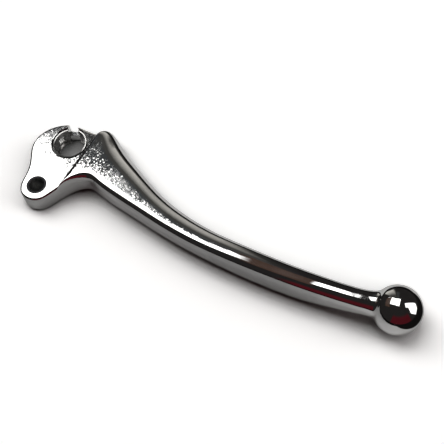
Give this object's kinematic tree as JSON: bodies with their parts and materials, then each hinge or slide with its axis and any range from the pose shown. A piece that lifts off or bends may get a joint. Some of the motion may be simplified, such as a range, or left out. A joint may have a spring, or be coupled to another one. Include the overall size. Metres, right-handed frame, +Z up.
{
  "type": "clutch lever",
  "caption": "Ball-ended clutch lever with a flat pierced head that swings on a pivot sleeve, and a split liner that turns in its cable pocket.",
  "frame": {"origin": "on the head's flat underside, 8 mm from the pivot axis on the line towards the cable pocket", "axes": "+X along the lever towards the ball, +Z up along the pivot axis, +Y away from the handlebar"},
  "size_m": [0.1741, 0.0439, 0.019],
  "materials": {
    "plated_alloy": "mirror polished, faint casting grain under the plating",
    "plated_steel": "bright plated, lightly scuffed",
    "oiled_steel": "dark oiled steel, turned ends"
  },
  "bodies": {
    "sleeve": {"pivot_sleeve": "oiled_steel"},
    "lever": {"lever_casting": "plated_alloy"},
    "liner": {"cable_liner": "plated_steel"}
  },
  "joints": [
    {"name": "lever_pull", "type": "hinge", "parent": "sleeve", "child": "lever", "pos_m": [0, -0.008, 0.00428], "axis": [0, 0, -1], "range_deg": [0, 25]},
    {"name": "liner_turn", "type": "hinge", "parent": "lever", "child": "liner", "pos_m": [0.00352, 0.01509, 0.00428], "axis": [0, 0, 1], "range_deg": [0, 26]}
  ],
  "couplings": [
    {"joint": "liner_turn", "follows": "lever_pull", "ratio": 1}
  ]
}
